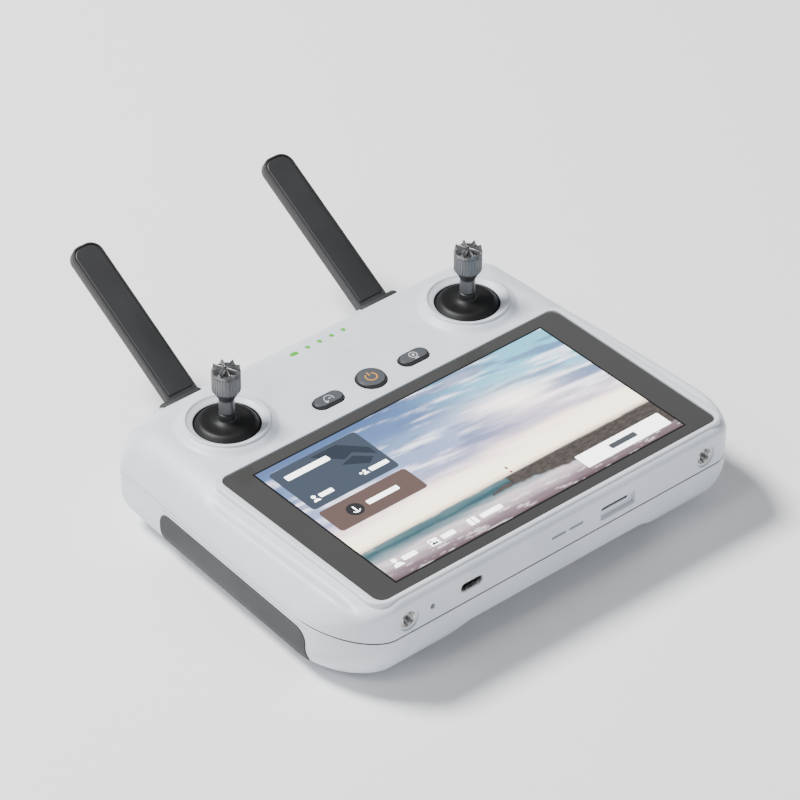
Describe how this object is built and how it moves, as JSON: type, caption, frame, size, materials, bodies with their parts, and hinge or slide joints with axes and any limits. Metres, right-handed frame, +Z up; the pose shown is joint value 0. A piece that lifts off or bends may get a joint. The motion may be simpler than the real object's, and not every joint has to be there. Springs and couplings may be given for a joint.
{
  "type": "radio transmitter controller",
  "caption": "Handheld drone radio controller with a built-in screen, sprung control sticks, fold-out antennas, push buttons, shoulder dials and rubber-faced grips.",
  "frame": {"origin": "middle of the overall length and width, on the plane the grips stand on", "axes": "+X to the user's right, +Y away from the user towards the antennas, +Z up out of the screen"},
  "size_m": [0.1704, 0.195, 0.06],
  "materials": {
    "shell": "fine moulded texture, pale grey",
    "cover_glass": "polished, dark printed border",
    "display": "lit picture",
    "frame_metal": "stamped",
    "switch": "moulded",
    "light_guide": "translucent, lit green",
    "circuit_board": "solder mask",
    "steel": "plated",
    "insert_metal": "turned, nickel plated",
    "black_plastic": "moulded",
    "battery_wrap": "shrink wrap",
    "key_plastic": "moulded, satin",
    "grip_rubber": "matt moulded rubber",
    "knob_aluminium": "turned and anodised grey",
    "dome_plastic": "satin black",
    "antenna_plastic": "charcoal, fine moulded texture"
  },
  "bodies": {
    "case": {"upper_shell": "shell", "lower_shell": "shell", "screen_glass": "cover_glass", "display_panel": "display", "display_frame": "frame_metal", "tact_switches": "switch", "led_light_guides": "light_guide", "key_board": "circuit_board", "antenna_hinge_pins": "steel", "threaded_inserts": "insert_metal", "usb_shell": "steel", "usb_tongue": "black_plastic", "card_socket": "steel", "speaker": "black_plastic", "microphone": "steel", "main_board": "circuit_board", "shield_cans": "steel", "battery_pack": "battery_wrap", "case_screws": "steel", "left_grip_pad": "grip_rubber", "left_gimbal_springs": "steel", "left_gimbal_base": "black_plastic", "left_gimbal_sensor_board": "circuit_board", "right_grip_pad": "grip_rubber", "right_gimbal_springs": "steel", "right_gimbal_base": "black_plastic", "right_gimbal_sensor_board": "circuit_board"},
    "left_yoke": {"left_gimbal_yoke": "black_plastic"},
    "left_stick": {"left_stick_post": "steel", "left_stick_dome": "dome_plastic", "left_stick_knob": "knob_aluminium", "left_stick_magnet": "steel"},
    "left_dial": {"left_shoulder_dial": "key_plastic"},
    "left_trigger": {"left_shoulder_button": "key_plastic"},
    "left_antenna": {"left_antenna_back": "antenna_plastic", "left_antenna_front": "antenna_plastic", "left_antenna_element": "circuit_board"},
    "right_yoke": {"right_gimbal_yoke": "black_plastic"},
    "right_stick": {"right_stick_post": "steel", "right_stick_dome": "dome_plastic", "right_stick_knob": "knob_aluminium", "right_stick_magnet": "steel"},
    "right_dial": {"right_shoulder_dial": "key_plastic"},
    "right_trigger": {"right_shoulder_button": "key_plastic"},
    "right_antenna": {"right_antenna_back": "antenna_plastic", "right_antenna_front": "antenna_plastic", "right_antenna_element": "circuit_board"},
    "power_button": {"power_button": "key_plastic"},
    "left_button": {"left_button": "key_plastic"},
    "right_button": {"right_button": "key_plastic"}
  },
  "joints": [
    {"name": "left_stick_forward", "type": "hinge", "parent": "case", "child": "left_yoke", "pos_m": [-0.0514, 0.00579, 0.027], "axis": [-1, 0, 0], "range_deg": [-22, 22], "stiffness_Nm_per_rad": 0.06},
    {"name": "left_stick_sideways", "type": "hinge", "parent": "left_yoke", "child": "left_stick", "pos_m": [-0.0514, 0.00579, 0.027], "axis": [0, 1, 0], "range_deg": [-22, 22], "stiffness_Nm_per_rad": 0.06},
    {"name": "left_dial_turn", "type": "hinge", "parent": "case", "child": "left_dial", "pos_m": [-0.06, 0.02839, 0.0268], "axis": [1, 0, 0], "range_deg": [-30, 30], "stiffness_Nm_per_rad": 0.01},
    {"name": "left_shoulder_press", "type": "slide", "parent": "case", "child": "left_trigger", "axis": [0, -1, 0], "range_m": [0, 0.0008], "stiffness_N_per_m": 2000},
    {"name": "left_antenna_fold", "type": "hinge", "parent": "case", "child": "left_antenna", "pos_m": [-0.0411, 0.04039, 0.0195], "axis": [1, 0, 0], "range_deg": [-120.5, 59.5]},
    {"name": "right_stick_forward", "type": "hinge", "parent": "case", "child": "right_yoke", "pos_m": [0.0514, 0.00579, 0.027], "axis": [-1, 0, 0], "range_deg": [-22, 22], "stiffness_Nm_per_rad": 0.06},
    {"name": "right_stick_sideways", "type": "hinge", "parent": "right_yoke", "child": "right_stick", "pos_m": [0.0514, 0.00579, 0.027], "axis": [0, 1, 0], "range_deg": [-22, 22], "stiffness_Nm_per_rad": 0.06},
    {"name": "right_dial_turn", "type": "hinge", "parent": "case", "child": "right_dial", "pos_m": [0.06, 0.02839, 0.0268], "axis": [1, 0, 0], "range_deg": [-30, 30], "stiffness_Nm_per_rad": 0.01},
    {"name": "right_shoulder_press", "type": "slide", "parent": "case", "child": "right_trigger", "axis": [0, -1, 0], "range_m": [0, 0.0008], "stiffness_N_per_m": 2000},
    {"name": "right_antenna_fold", "type": "hinge", "parent": "case", "child": "right_antenna", "pos_m": [0.0411, 0.04039, 0.0195], "axis": [1, 0, 0], "range_deg": [-120.5, 59.5]},
    {"name": "power_button_press", "type": "slide", "parent": "case", "child": "power_button", "axis": [0, 0, -1], "range_m": [0, 0.0006], "stiffness_N_per_m": 2500},
    {"name": "left_button_press", "type": "slide", "parent": "case", "child": "left_button", "axis": [0, 0, -1], "range_m": [0, 0.0006], "stiffness_N_per_m": 2500},
    {"name": "right_button_press", "type": "slide", "parent": "case", "child": "right_button", "axis": [0, 0, -1], "range_m": [0, 0.0006], "stiffness_N_per_m": 2500}
  ]
}
